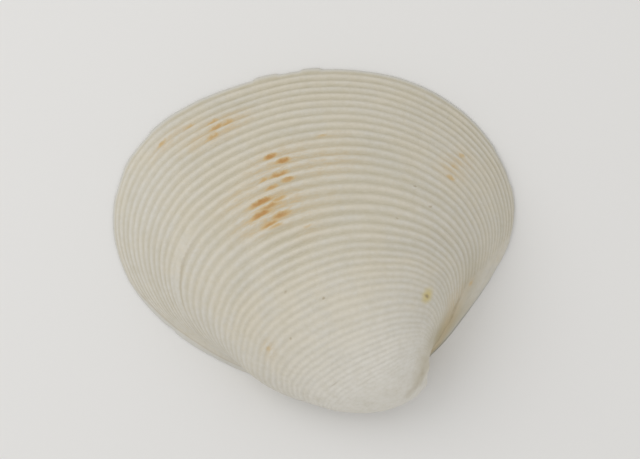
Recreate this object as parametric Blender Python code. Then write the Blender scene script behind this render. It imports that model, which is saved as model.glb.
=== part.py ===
"""Left valve of a venus clam as one closed solid: a ribbed dome, hollow beneath, with hinge teeth.

Blender 4.5, metres, +Z up. The valve rests on its margin with the outside up. +X is the front end, which
the beak leans towards, and +Y is the free edge, opposite the hinge. The origin is the middle of the
bounding box, at the level that the valve rests on.

The outside follows how the shell grows. Each growth line is a smaller copy of the margin, shrunk towards
the coil's tip and turned about the coil's axis, and each rib runs along one growth line. "Growth" is how
far back a line lies: 0 at the margin, rising towards the beak, with a size of exp(-growth). "Angle" is
the direction round the margin in degrees: 0 at the front, 90 at the free edge, -90 at the hinge.
"""

import bmesh
import bpy
import numpy as np
from mathutils import Matrix, Vector
from mathutils.bvhtree import BVHTree

MM = 0.001

# The margin in its resting plane, in mm: angle, radius of the full-grown margin, and radius that the
# first growth lines have once they are scaled up to full size.
MARGIN_CENTRE = (0.0, 1.0)
MARGIN = (
    (0, 21.7, 24.1), (12, 21.7, 22.5), (30, 20.6, 18.8), (45, 19.4, 16.0), (60, 18.2, 14.0),
    (75, 17.2, 13.0), (90, 16.7, 12.7), (105, 16.7, 12.8), (120, 17.3, 13.2), (135, 18.7, 13.8),
    (150, 20.6, 14.8), (165, 22.0, 15.5), (180, 22.4, 15.7), (195, 21.8, 15.2), (215, 20.0, 14.2),
    (235, 18.6, 14.0), (255, 18.1, 13.7), (270, 17.8, 14.1), (285, 18.7, 16.5), (300, 19.5, 20.0),
    (315, 19.3, 22.2), (330, 19.4, 23.2), (345, 20.4, 24.2),
)
SHAPE_CHANGE = 2.4  # how fast the young outline gives way to the full-grown one
# Places where the shell is fuller than the plain coil: growth and angle of the middle, reach in growth and
# in degrees (1000 is all the way round), and mm added along X and Y
FULLER = (
    (1.67, -45.0, 0.78, 28.0, 1.24, 0.0), (2.80, 0.0, 0.8, 1000.0, 0.46, 0.0),
    (0.66, 178.0, 0.21, 24.0, -0.40, -0.36),
)

# The coil
COIL_TIP = np.array((10.99, -15.48, 3.03))  # mm, where the growth lines shrink to
COIL_AXIS_HEADING = -3.1  # degrees from +X
COIL_AXIS_TILT = 31.2  # degrees above the resting plane
COIL_TURN = 1.657  # radians turned for each unit of growth, near the margin
COIL_SLOWING = 0.143  # radians lost for each unit of growth squared
BEAK_GROWTH = 2.6  # the first growth line, which the beak's rounded tip closes

# Walls, in mm where nothing else is said
EDGE = 0.25  # height of the blunt edge all round
HINGE_LIFT = 1.2  # further thickness behind the edge along the hinge
HINGE_LIFT_GROWTH = 0.06  # growth over which that thickness is reached
HINGE_FROM, HINGE_TO, HINGE_FADE = -138.0, -28.0, 22.0  # degrees
WALL = 1.5  # thickness, measured square to the outside
WALL_STEEPEST = 0.5  # least upright share of the outside's normal that the thickness allows for
RIM_BAND = 1.3  # width of the flat band that the valve rests on
HINGE_EDGE = 0.9  # width of that band along the hinge
HINGE_PLATE = 3.8  # how far in the hinge plate reaches
PLATE_STEP = 0.5  # width of the step from that band to the plate
PLATE_HEIGHT = 1.0  # the plate stands back from the resting plane under the beak, to make room for teeth
PLATE_FROM, PLATE_TO, PLATE_FADE = -100.0, -38.0, 16.0  # degrees
HOLLOW_RISE = 3.5  # distance over which the hollow reaches its full height
HOLLOW_RISE_LEAST = 0.35  # the same away from the hinge

# Ribs: (number from the margin, growth of its crest)
RIBS = (
    (0, 0.015), (5, 0.095), (10, 0.195), (15, 0.329), (20, 0.486), (25, 0.629), (30, 0.816), (35, 1.003),
    (41, 1.235),
)
LAST_RIB = 36
RIB_HEIGHT = 0.28  # mm, crest above groove, at the margin
RIB_STEEPNESS = 0.26  # height at most this share of the distance from rib to rib
RIB_FADE_FROM = 0.7  # share of the ribs after which they start to die out towards the beak

# The bare strip along the hinge: (angle, growth that it reaches up to); and the lunule: (growth, angle of
# its border)
ESCUTCHEON = (
    (-164.0, 0.001), (-155.0, 0.035), (-148.0, 0.045), (-140.0, 0.08), (-126.0, 0.075), (-118.0, 0.09),
    (-110.0, 0.25), (-104.0, 0.7), (-96.0, 3.0),
)
ESCUTCHEON_EDGE = 0.2  # share of that growth over which the ribs set in
LUNULE = (
    (0.0, -5.0), (0.13, -10.0), (0.29, -14.0), (0.39, -21.5), (0.53, -36.0), (0.8, -44.0), (2.7, -50.0),
)
BORDER_WIDTH = 8.0  # degrees
LUNULE_END = -75.0  # degrees, under the beak
LUNULE_DEPTH = 0.3  # mm that it is sunken

# Hinge teeth of the left valve, which fan out from under the beak: heading in degrees, length in mm
TEETH_ROOT = (9.6, -13.4)  # mm
TEETH = ((70.0, 2.6), (116.0, 2.2), (165.0, 3.6))
TOOTH_START = 0.5  # from the root to each tooth's near end
TOOTH_WIDTH = 0.9
TOOTH_CREST = 0.45  # share of the width left at the crest
TOOTH_CLEARANCE = 0.1  # crest above the resting plane
TOOTH_ROOTED = 0.5  # how far it reaches into the plate

# Mesh
COLUMNS = 52
COLUMN_CROWDING = 0.35  # columns stand closer where the margin bends most
CROWDED_AT = -50.0  # degrees
BEAK_ROWS = 8  # rows between the last rib and the beak
RISE_RINGS = (0.25, 0.6, 1.0)  # shares of the hollow's rise
INNER_RINGS = (0.15, 0.35, 0.58, 0.8)  # shares of the way from the hollow's foot to its middle
SLOPE_STEP = 0.01  # growth between the points that give a slope
TREE_ROWS, TREE_COLUMNS, TREE_GROWTH = 120, 180, 2.0  # the smooth outside, as used to find the roof

SHELL_COLOUR = (0.52, 0.48, 0.40, 1.0)
SHELL_ROUGHNESS = 0.5
SHARP_ANGLE = np.radians(35.0)  # rib edges stay crisp, the rest is shaded smooth


def curve_through(xs, ys, x, period=None):
    """Smooth curve through stations (xs, ys), read at x; with a period it closes on itself."""
    xs = np.asarray(xs, float)
    ys = np.asarray(ys, float)
    if period:
        xs = np.concatenate((xs[-2:] - period, xs, xs[:3] + period))
        ys = np.concatenate((ys[-2:], ys, ys[:3]))
        x = np.mod(x, period)
    slope = np.gradient(ys, xs)
    i = np.clip(np.searchsorted(xs, x, side="right") - 1, 0, len(xs) - 2)
    span = xs[i + 1] - xs[i]
    t = np.clip((x - xs[i]) / span, 0.0, 1.0)
    start = (1 + 2 * t) * (1 - t) ** 2 * ys[i] + t * (1 - t) ** 2 * span * slope[i]
    end = t * t * (3 - 2 * t) * ys[i + 1] + t * t * (t - 1) * span * slope[i + 1]
    return start + end


def ease(low, high, x):
    """0 below low, 1 above high, and a smooth rise between."""
    t = np.clip((x - low) / (high - low), 0.0, 1.0)
    return t * t * (3 - 2 * t)


def turned(x, around):
    """Angle in degrees brought to within half a turn of around."""
    return (x - around + 180.0) % 360.0 - 180.0 + around


def margin_radius(angle, growth):
    """Radius of the growth line in mm, before it shrinks and turns."""
    degrees, grown, young = zip(*MARGIN)
    grown = curve_through(degrees, grown, angle, 360.0)
    young = curve_through(degrees, young, angle, 360.0)
    return young + (grown - young) * np.exp(-SHAPE_CHANGE * growth)


def stretch_share(angle, start, end, fade):
    """1 from start to end round the margin, 0 elsewhere, with a fade at both ends; all in degrees."""
    a = turned(angle, -90.0)
    return ease(start - fade, start + fade, a) * ease(-end - fade, -end + fade, -a)


def hinge_share(angle):
    """1 along the hinge, 0 round the rest of the margin."""
    return stretch_share(angle, HINGE_FROM, HINGE_TO, HINGE_FADE)


def lunule_share(angle, growth):
    """1 inside the lunule, 0 outside."""
    a = turned(angle, -90.0)
    inside = ease(0.0, BORDER_WIDTH, curve_through(*zip(*LUNULE), growth) - a)
    return inside * ease(LUNULE_END - BORDER_WIDTH, LUNULE_END + BORDER_WIDTH, a)


def bare_share(angle, growth):
    """1 on the strip along the hinge that has no ribs, 0 elsewhere."""
    a = turned(angle, -90.0)
    reach = np.interp(a, *zip(*ESCUTCHEON))
    behind = 1 - ease(1 - ESCUTCHEON_EDGE, 1 + ESCUTCHEON_EDGE, growth / reach)
    return behind * ease(0.0, BORDER_WIDTH, curve_through(*zip(*LUNULE), growth) - a)


def skin(growth, angle):
    """Smooth outside in mm, without ribs."""
    growth, angle = np.broadcast_arrays(growth, angle)
    radius = margin_radius(angle, growth)
    a = np.radians(angle)
    line = np.stack(
        (MARGIN_CENTRE[0] + radius * np.cos(a), MARGIN_CENTRE[1] + radius * np.sin(a), 0 * radius), -1
    )
    heading, tilt = np.radians((COIL_AXIS_HEADING, COIL_AXIS_TILT))
    axis = np.array((np.cos(heading) * np.cos(tilt), np.sin(heading) * np.cos(tilt), np.sin(tilt)))
    arm = line - COIL_TIP
    turn = (COIL_TURN * growth - COIL_SLOWING * growth**2)[..., None]
    along = (arm @ axis)[..., None] * axis
    arm = along + (arm - along) * np.cos(turn) + np.cross(axis, arm) * np.sin(turn)
    point = COIL_TIP + np.exp(-growth)[..., None] * arm
    point[..., 2] += EDGE + HINGE_LIFT * hinge_share(angle) * (1 - np.exp(-growth / HINGE_LIFT_GROWTH))
    for at_growth, at_angle, growth_reach, angle_reach, x, y in FULLER:
        turn_away = (turned(angle, at_angle) - at_angle) / angle_reach
        share = np.exp(-(((growth - at_growth) / growth_reach) ** 2) - turn_away**2)
        point[..., :2] += share[..., None] * (x, y)
    return point


def slopes(growth, angle):
    """How the smooth outside runs, in mm: along the growth line per degree, and back per unit of growth."""
    before = np.maximum(growth - SLOPE_STEP, 0.0)
    after = growth + SLOPE_STEP
    along = (skin(growth, angle + 1.0) - skin(growth, angle - 1.0)) / 2
    back = (skin(after, angle) - skin(before, angle)) / (after - before)
    return along, back


def outward(growth, angle):
    """Unit normal of the smooth outside."""
    normal = np.cross(*slopes(growth, angle))
    return normal / np.linalg.norm(normal, axis=-1, keepdims=True)


def line_spacing(growth, angle):
    """Distance between growth lines in mm, for each unit of growth."""
    along, back = slopes(growth, angle)
    return np.linalg.norm(np.cross(along, back), axis=-1) / np.linalg.norm(along, axis=-1)


def rib_growth(number):
    """Growth at a rib's crest; halves fall in the grooves."""
    return curve_through(*zip(*RIBS), number)


def outside(growth, angle, crest, rib_gap):
    """Outside in mm with its ribs; crest is 1 on a rib's crest and -1 in a groove, rib_gap is in growth."""
    height = np.minimum(RIB_HEIGHT, RIB_STEEPNESS * rib_gap * line_spacing(growth, angle))
    rib = 0.5 * height * crest * (1 - bare_share(angle, growth))
    sunk = LUNULE_DEPTH * lunule_share(angle, growth) * np.exp(-growth)
    return skin(growth, angle) + outward(growth, angle) * (rib - sunk)[..., None]


def column_angles():
    """Angles of the columns round the margin, closest where it bends most."""
    turn = np.linspace(0.0, 360.0, COLUMNS, endpoint=False)
    return turn + np.degrees(COLUMN_CROWDING) * np.sin(np.radians(turn - CROWDED_AT - 180.0))


def dome_rows():
    """Rows of the outside from the beak to the margin: growth, crest, and growth from rib to rib."""
    numbers = np.arange(0, LAST_RIB + 0.5, 0.5)
    growths = rib_growth(numbers)
    gaps = np.gradient(growths, numbers)
    crests = np.where(numbers % 1 == 0, 1.0, -1.0)
    crests *= 1 - ease(RIB_FADE_FROM, 1.0, numbers / LAST_RIB)
    beak = [(growth, 0.0, 0.0) for growth in np.linspace(BEAK_GROWTH, growths[-1], BEAK_ROWS + 1)[:-1]]
    return beak + list(zip(growths, crests, gaps))[::-1] + [(0.0, -1.0, gaps[0])]


def skin_tree():
    """The smooth outside as a tree of faces, for finding what lies above a point."""
    growth = np.linspace(0.0, TREE_GROWTH, TREE_ROWS)[:, None]
    angle = np.linspace(0.0, 360.0, TREE_COLUMNS, endpoint=False)
    points = skin(growth, angle)
    number = np.arange(TREE_ROWS * TREE_COLUMNS).reshape(TREE_ROWS, TREE_COLUMNS)
    beside = np.roll(number, -1, axis=1)
    faces = np.stack((number[:-1], beside[:-1], beside[1:], number[1:]), -1).reshape(-1, 4)
    return BVHTree.FromPolygons(points.reshape(-1, 3).tolist(), faces.tolist())


def roof(tree, x, y):
    """Height of the hollow's roof over a point: the outside less the wall, measured square to it."""
    hit, normal, _, _ = tree.ray_cast(Vector((x, y, 0.0)), Vector((0.0, 0.0, 1.0)))
    if hit is None:
        return 0.0
    return max(0.0, hit.z - WALL / max(abs(normal.z), WALL_STEEPEST))


def underside(tree, angles):
    """Rings of the underside in mm, from the margin to the middle of the hollow."""
    edge = skin(0.0, angles)[:, :2]
    arms = np.array(MARGIN_CENTRE) - edge
    reach = np.hypot(*arms.T)
    hinge = hinge_share(angles)
    recess = stretch_share(angles, PLATE_FROM, PLATE_TO, PLATE_FADE)
    band = RIM_BAND + (HINGE_EDGE - RIM_BAND) * hinge
    plate_from = band + PLATE_STEP
    plate_to = plate_from + PLATE_STEP + (HINGE_PLATE - HINGE_EDGE - 2 * PLATE_STEP) * hinge
    foot = plate_to + HOLLOW_RISE
    depths = [0 * band, band, plate_from, plate_to]
    depths += [plate_to + share * HOLLOW_RISE for share in RISE_RINGS]
    depths += [foot + share * (reach - foot) for share in INNER_RINGS]
    rings = []
    for depth in depths:
        places = edge + arms * (depth / reach)[:, None]
        over = np.array([roof(tree, x, y) for x, y in places])
        plate = np.minimum(PLATE_HEIGHT * recess * ease(band, plate_from, depth), over)
        risen = ease(plate_to, plate_to + np.maximum(HOLLOW_RISE * hinge, HOLLOW_RISE_LEAST), depth)
        rings.append(np.column_stack((places, plate + (over - plate) * risen)))
    return rings


def pressed_ball(top, rings, bottom):
    """A ball whose rings of points, counted from the top, and two poles are moved to the given places."""
    bm = bmesh.new()
    rows = len(rings) + 1
    bmesh.ops.create_uvsphere(bm, u_segments=COLUMNS, v_segments=rows, radius=1.0)
    for vert in bm.verts:
        row = round(vert.co.angle(Vector((0.0, 0.0, 1.0))) / np.pi * rows)
        column = round(np.arctan2(vert.co.y, vert.co.x) / (2 * np.pi) * COLUMNS) % COLUMNS
        if row == 0:
            vert.co = top
        elif row == rows:
            vert.co = bottom
        else:
            vert.co = rings[row - 1][column]
    return bm


def valve_body():
    """The whole valve without its teeth, in mm."""
    angles = column_angles()
    tree = skin_tree()
    rings = [outside(growth, angles, crest, gap) for growth, crest, gap in dome_rows()]
    tip = rings[0].mean(axis=0) + outward(BEAK_GROWTH, angles).mean(axis=0)
    top_of_hollow = (*MARGIN_CENTRE, roof(tree, *MARGIN_CENTRE))
    return pressed_ball(tip, rings + underside(tree, angles), top_of_hollow)


def tooth(heading, length):
    """One hinge tooth in mm, a tapered ridge that hangs from the plate and runs out from under the beak."""
    bm = bmesh.new()
    bmesh.ops.create_cube(bm, size=1.0)
    for vert in bm.verts:
        if vert.co.z < 0:
            vert.co.y *= TOOTH_CREST
            vert.co.x *= 1 - (1 - TOOTH_CREST) * TOOTH_WIDTH / length
    top = PLATE_HEIGHT + TOOTH_ROOTED
    middle = Vector((TOOTH_START + length / 2, 0.0, (top + TOOTH_CLEARANCE) / 2))
    turn = Matrix.Rotation(np.radians(heading), 3, "Z")
    bmesh.ops.scale(bm, verts=bm.verts, vec=(length, TOOTH_WIDTH, top - TOOTH_CLEARANCE))
    bmesh.ops.translate(bm, verts=bm.verts, vec=middle)
    bmesh.ops.rotate(bm, verts=bm.verts, cent=(0.0, 0.0, 0.0), matrix=turn)
    bmesh.ops.translate(bm, verts=bm.verts, vec=(*TEETH_ROOT, 0.0))
    return bm


def shell_material():
    """Chalky off-white shell."""
    material = bpy.data.materials.new("shell")
    material.use_nodes = True
    surface = material.node_tree.nodes["Principled BSDF"]
    surface.inputs["Base Color"].default_value = SHELL_COLOUR
    surface.inputs["Roughness"].default_value = SHELL_ROUGHNESS
    surface.inputs["Metallic"].default_value = 0.0
    return material


def mesh_object(name, bm, shift):
    """A scene object in metres from a bmesh in mm, shifted so that the origin is where it belongs."""
    bmesh.ops.translate(bm, verts=bm.verts, vec=shift)
    bmesh.ops.scale(bm, verts=bm.verts, vec=(MM, MM, MM))
    mesh = bpy.data.meshes.new(name)
    bm.to_mesh(mesh)
    bm.free()
    item = bpy.data.objects.new(name, mesh)
    bpy.context.scene.collection.objects.link(item)
    return item


def build():
    for item in list(bpy.data.objects):
        bpy.data.objects.remove(item, do_unlink=True)

    body = valve_body()
    places = np.array([vert.co for vert in body.verts])
    middle = (places.min(axis=0) + places.max(axis=0)) / 2
    shift = Vector((-middle[0], -middle[1], 0.0))
    valve = mesh_object("valve", body, shift)
    valve.data.shade_smooth()
    valve.data.set_sharp_from_angle(angle=SHARP_ANGLE)
    valve.data.materials.append(shell_material())

    for number, (heading, length) in enumerate(TEETH, start=1):
        ridge = mesh_object(f"tooth_{number}", tooth(heading, length), shift)
        ridge.hide_render = True
        ridge.display_type = "WIRE"
        join = valve.modifiers.new(ridge.name, "BOOLEAN")
        join.operation = "UNION"
        join.object = ridge


build()
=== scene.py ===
"""Looks of a venus clam's left valve: its ribbed outside, its hollow inside, its stains, and a stage.

Blender 4.5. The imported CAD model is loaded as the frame: +X is the front end, +Y the free edge, +Z out of
the ribbed outside, and z = 0 the level that the valve rests on. The valve is shaped in mm and then scaled
to the scene's metres.

The outside follows how the shell grows. Each growth line is a smaller copy of the margin, shrunk towards
the coil's tip and turned about the coil's axis, and each rib runs along one growth line. "Growth" is how
far back a line lies: 0 at the margin, rising towards the beak, with a size of exp(-growth). "Angle" is
the direction round the margin in degrees: 0 at the front, 90 at the free edge, -90 at the hinge.
"""

import bmesh
import bpy
import numpy as np
from bpy.props import FloatProperty, FloatVectorProperty, PointerProperty
from mathutils import Matrix, Vector
from mathutils.bvhtree import BVHTree


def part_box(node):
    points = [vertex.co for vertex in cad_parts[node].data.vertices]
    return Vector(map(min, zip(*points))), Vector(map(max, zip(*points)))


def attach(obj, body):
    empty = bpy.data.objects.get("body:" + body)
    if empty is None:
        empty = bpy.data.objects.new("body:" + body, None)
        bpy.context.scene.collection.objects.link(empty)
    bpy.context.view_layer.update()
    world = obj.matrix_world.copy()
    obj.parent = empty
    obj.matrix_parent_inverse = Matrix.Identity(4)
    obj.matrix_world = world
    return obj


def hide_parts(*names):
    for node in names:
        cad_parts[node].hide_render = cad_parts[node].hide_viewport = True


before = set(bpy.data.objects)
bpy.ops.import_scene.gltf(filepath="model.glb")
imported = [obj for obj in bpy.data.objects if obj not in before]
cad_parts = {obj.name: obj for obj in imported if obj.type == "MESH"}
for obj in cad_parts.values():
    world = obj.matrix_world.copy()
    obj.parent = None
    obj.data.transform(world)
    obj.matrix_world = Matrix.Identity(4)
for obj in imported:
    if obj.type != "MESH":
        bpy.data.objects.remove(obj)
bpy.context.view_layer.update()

bl_info = {
    "name": "Venus clam shell",
    "version": (1, 0, 0),
    "blender": (4, 5, 0),
    "location": "View3D > Sidebar > Clam shell",
    "description": "Builds one valve of a venus clam with its ribs, hollow, hinge and stains, and a stage",
    "category": "Add Mesh",
}

MM = 0.001

# The margin in its resting plane, in mm: angle, radius of the full-grown margin, and radius that the
# first growth lines have once they are scaled up to full size.
MARGIN_CENTRE = (0.0, 1.0)
MARGIN = (
    (0, 21.7, 24.1), (12, 21.7, 22.5), (30, 20.6, 18.8), (45, 19.4, 16.0), (60, 18.2, 14.0),
    (75, 17.2, 13.0), (90, 16.7, 12.7), (105, 16.7, 12.8), (120, 17.3, 13.2), (135, 18.7, 13.8),
    (150, 20.6, 14.8), (165, 22.0, 15.5), (180, 22.4, 15.7), (195, 21.8, 15.2), (215, 20.0, 14.2),
    (235, 18.6, 14.0), (255, 18.1, 13.7), (270, 17.8, 14.1), (285, 18.7, 16.5), (300, 19.5, 20.0),
    (315, 19.3, 22.2), (330, 19.4, 23.2), (345, 20.4, 24.2),
)
SHAPE_CHANGE = 2.4  # how fast the young outline gives way to the full-grown one
# Places where the shell is fuller than the plain coil: growth and angle of the middle, reach in growth and
# in degrees (1000 is all the way round), and mm added along X and Y
FULLER = (
    (1.67, -45.0, 0.78, 28.0, 1.24, 0.0), (2.80, 0.0, 0.8, 1000.0, 0.46, 0.0),
    (0.66, 178.0, 0.21, 24.0, -0.40, -0.36),
)

# The coil
COIL_TIP = np.array((10.99, -15.48, 3.03))  # mm, where the growth lines shrink to
COIL_AXIS_HEADING = -3.1  # degrees from +X
COIL_AXIS_TILT = 31.2  # degrees above the resting plane
COIL_TURN = 1.657  # radians turned for each unit of growth, near the margin
COIL_SLOWING = 0.143  # radians lost for each unit of growth squared
BEAK_GROWTH = 2.6  # the first growth line, which the beak's rounded tip closes
BEAK_CAP = 1.0  # mm that the tip stands above it

# The edge and the hollow, in mm where nothing else is said
EDGE = 0.25  # height of the edge all round
EDGE_ROUNDING = 0.08
HINGE_LIFT = 1.2  # further thickness behind the edge along the hinge
HINGE_LIFT_GROWTH = 0.10  # growth over which that thickness is reached
HINGE_FROM, HINGE_TO, HINGE_FADE = -138.0, -28.0, 22.0  # degrees
WALL = 1.5  # thickness, measured square to the outside
RIM_BAND = 1.3  # width of the flat band that the valve rests on
HINGE_EDGE = 0.9  # width of that band along the hinge
HINGE_PLATE = 3.8  # how far in the hinge plate reaches
PLATE_STEP = 0.5  # width of the step from that band to the plate
PLATE_HEIGHT = 1.0  # the plate stands back from the resting plane under the beak, to make room for teeth
PLATE_FROM, PLATE_TO, PLATE_FADE = -100.0, -38.0, 16.0  # degrees
HOLLOW_RISE = 3.5  # distance over which the hollow reaches its full height
HOLLOW_RISE_LEAST = 0.35  # the same away from the hinge
ROOF_ROUNDING = 0.3  # how softly the hollow leaves the flat band

# Ribs: (number from the margin, growth of its crest at the free edge)
RIBS = (
    (-1, 0.0), (0, 0.0145), (5, 0.095), (9, 0.173), (12, 0.245), (15, 0.328), (18, 0.425), (20, 0.487),
    (23, 0.576), (26, 0.664), (30, 0.816), (34, 0.959), (38, 1.120), (41, 1.235), (52, 1.720),
)
# How strongly the ribs stand out: at these angles, for each growth
RIB_SHARE_ANGLES = (-40, 35, 65, 95, 125, 162, 215)
RIBBED_SIDE = 88.0  # degrees, the middle of the side that has ribs
RIB_SHARE = (
    (0.03, (0.60, 0.78, 0.68, 0.78, 0.80, 0.52, 0.65)),
    (0.10, (0.50, 0.55, 0.70, 0.78, 0.80, 0.56, 0.65)),
    (0.21, (0.50, 0.64, 0.87, 0.98, 0.88, 0.54, 0.65)),
    (0.39, (0.45, 0.75, 0.88, 1.15, 0.64, 0.46, 0.65)),
    (0.60, (0.45, 0.45, 0.31, 0.35, 0.34, 0.28, 0.65)),
    (0.88, (0.50, 0.40, 0.39, 0.40, 0.34, 0.45, 0.65)),
    (1.25, (0.40, 0.30, 0.24, 0.24, 0.24, 0.50, 0.60)),
    (1.72, (0.00, 0.00, 0.00, 0.00, 0.00, 0.00, 0.00)),
)
# A pause in growth that left a smooth band: growth and degrees, each as (from, to, fade)
CHECK_GROWTH = (0.227, 0.244, 0.008)
CHECK_ANGLE = (150.0, 192.0, 9.0)
# How far ribs stray towards the beak elsewhere, in distances between ribs: the angles, and at each rib
# number the straying at those angles
STRAY_ANGLES = (-3, 10, 30, 50, 75, 95, 115, 140, 160, 175)
STRAY_END = 60  # degrees beyond the first and the last, where straying has faded out
STRAY_FADE = (-1.0, 1.0)  # rib numbers over which it begins at the edge
STRAY = (
    (0, (-0.40, -0.20, -0.05, 0.20, 0.08, 0.08, 0.17, 0.20, -0.19, -0.23)),
    (4, (-0.31, -0.11, 0.00, 0.13, 0.02, 0.05, 0.08, 0.07, -0.10, -0.24)),
    (8, (-0.30, -0.07, 0.02, 0.08, 0.01, 0.09, 0.12, 0.18, 0.19, 0.10)),
    (12, (-0.27, -0.10, 0.01, 0.01, -0.03, 0.07, 0.08, 0.11, 0.13, -0.16)),
    (16, (-0.13, 0.02, 0.09, 0.02, -0.01, 0.10, 0.13, 0.10, 0.27, 0.18)),
    (20, (-0.42, -0.21, 0.00, -0.08, 0.00, 0.14, 0.09, 0.01, 0.37, 0.42)),
    (23, (-0.55, -0.34, -0.14, -0.14, -0.04, 0.15, 0.10, 0.01, 0.60, 0.66)),
    (26, (-0.48, -0.25, -0.05, -0.04, 0.04, 0.18, 0.11, 0.23, 0.88, 0.95)),
    (30, (-0.46, -0.20, 0.11, 0.12, 0.09, 0.20, 0.15, 0.18, 0.77, 0.95)),
    (33, (-0.30, -0.04, 0.35, 0.24, 0.15, 0.26, 0.17, 0.35, 0.90, 1.05)),
    (36, (-0.17, 0.02, 0.34, 0.17, 0.06, 0.12, 0.14, 0.38, 1.10, 1.10)),
    (39, (0.00, 0.10, 0.32, 0.22, 0.06, 0.10, 0.20, 0.34, 0.90, 1.00)),
)
FINE_FROM = 41  # from this rib on, the mesh follows the fine early ribs with fewer rows
LAST_RIB = 52
RIB_STEEPNESS = 0.29  # height at most this share of the distance from rib to rib
RIB_WANDER = 0.04  # further unevenness, in distances between ribs
HEIGHT_UNEVENNESS = 0.25  # share that rib heights vary by
DENT_DEPTH = 0.03  # mm
DENT_FADE = (0.0, 0.05)  # growth over which the dents begin at the edge
LIP_THINNING = (-1.6, 0.0)  # rib numbers over which the edge thins down

HINGE_SIDE = -90.0  # degrees, the middle of the side without ribs
# Growth up to which the hinge side has no ribs: behind the beak the strip along the hinge, in front of it
# the lunule, as (angle, growth)
BARE = (
    (-164.0, 0.001), (-155.0, 0.035), (-148.0, 0.045), (-140.0, 0.08), (-126.0, 0.075), (-118.0, 0.09),
    (-110.0, 0.25), (-104.0, 0.7), (-96.0, 3.0), (-75.0, 3.0), (-62.0, 1.4), (-50.0, 0.70), (-40.0, 0.57),
    (-34.0, 0.49), (-29.0, 0.41), (-23.0, 0.405), (-16.0, 0.345), (-13.5, 0.29), (-12.0, 0.20),
    (-9.5, 0.12), (-6.0, 0.045), (-3.0, 0.001),
)
BARE_EDGE = (-0.35, 0.4)  # mm from that line over which the ribs set in
LUNULE_FROM = (-83.0, -67.0)  # degrees between which the lunule begins, under the beak
LUNULE_DEPTH = 0.3  # mm that it is sunken
LUNULE_STEP = (-1.0, 0.5)  # mm from its edge over which it sinks
LUNULE_FADE = (0.15, 0.6)  # reach of the part without ribs over which the lunule's step comes in
LUNULE_GROOVE = (0.14, 0.42)  # mm deep and wide, along the lunule's edge

# Hinge teeth, which fan out from under the beak: heading in degrees, length and width in mm
TEETH_ROOT = (9.6, -13.4)  # mm
TEETH = ((72.0, 2.3, 0.85), (116.0, 2.1, 0.8), (162.0, 3.6, 0.95))
TOOTH_START = 0.5  # from the root to each tooth's near end
TOOTH_CLEARANCE = 0.1  # crest above the resting plane
TOOTH_ROOTED = 0.5  # how far it reaches into the plate
TOOTH_TAPER = 0.45  # share that the near end is narrower and lower
TOOTH_SQUARENESS = 0.75  # 1 for an ellipsoid, less for a squarer ridge
TOOTH_SEGMENTS = 24

# Marks of the soft body inside: muscle scars as (x, y, half length, half width, heading), and the line that
# runs from one to the other, all in mm and degrees
SCARS = ((14.6, 0.5, 3.2, 2.0, 82.0), (-15.4, -0.6, 3.5, 2.5, 108.0))
SCAR_DEPTH = 0.07
SCAR_EDGE = (0.85, 1.1)  # shares of a scar's half length over which it ends
PALLIAL_LINE = 4.0  # from the edge
PALLIAL_LINE_WIDTH = 0.5
PALLIAL_LINE_FROM_TO = (12.0, 168.0, 6.0)
PALLIAL_SINUS = (150.0, 12.0, 3.2)  # where the line bends inwards: angle, width in degrees, and mm
LIGAMENT_GROOVE = (0.45, 0.35, 0.6, 0.12)  # behind the beak: mm deep, and from, to and fade from the edge
LIGAMENT_FROM_TO = (-136.0, -104.0, 5.0)

# Worn places of the free edge: (from degrees, to degrees, mm that the edge stands proud of its line)
LIP = (
    (88.5, 96.0, 0.20), (105.0, 114.0, 0.20), (11.0, 22.0, -0.12), (-5.0, 3.0, -0.10),
    (152.0, 160.0, -0.10), (165.0, 172.0, -0.08), (-145.0, -142.0, -0.15), (-129.0, -127.0, -0.12),
)
LIP_STEP = 0.7  # degrees over which such a place begins or ends
LIP_GROWTH = 0.012  # it reaches this far back
LIP_REACH = 0.7  # and this share of the flat band inwards
LIP_UNEVENNESS = 0.02  # mm that the edge strays elsewhere

# Mesh
COLUMNS = 240
SEAM = HINGE_SIDE  # where the columns begin, under the beak
ANGLES_TRIED = 7201  # round the margin, to share the columns out
CROWDED = ((-48.0, 34.0, 1.5),)  # more columns here: angle, width and share more
CROWDED_LIP = (1.6, 2.2)  # the same at the worn places' ends: width, share more
ROWS_PER_RIB = 6
ROWS_PER_FINE_RIB = 4
BEAK_ROWS = 18
CAP_ROWS = 6
CAP_EVENING = 3  # how soon the cap loses the unevenness of the ring that it closes
# Rows of the underside: flat band, step, hinge plate, foot of the hollow, and from there to its middle
BAND_ROWS, STEP_ROWS, PLATE_ROWS, FOOT_ROWS, INNER_ROWS = 5, 4, 8, 13, 46
TREE_ROWS, TREE_COLUMNS, TREE_GROWTH = 260, 300, 2.2  # the hollow's roof, as used to find heights
SLOPE_STEP = 0.01  # growth between the points that give a slope
UNDER_ALL = -10.0  # mm, a height below the whole valve
OUTLINE_ROWS, OUTLINE_STEP = 60, 0.5  # growth lines, and degrees, from which the outline's size is taken
# What the material reads besides the ribs
UNDERSIDE_MAP = 20.0  # mm from the edge inwards for each unit of the growth map
NEAR_BARE = 3.0  # mm, beyond which the distance from the part without ribs doesn't matter
INSIDE_FROM = (0.1, 1.6)  # mm from the edge over which the smooth white of the inside begins


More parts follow.
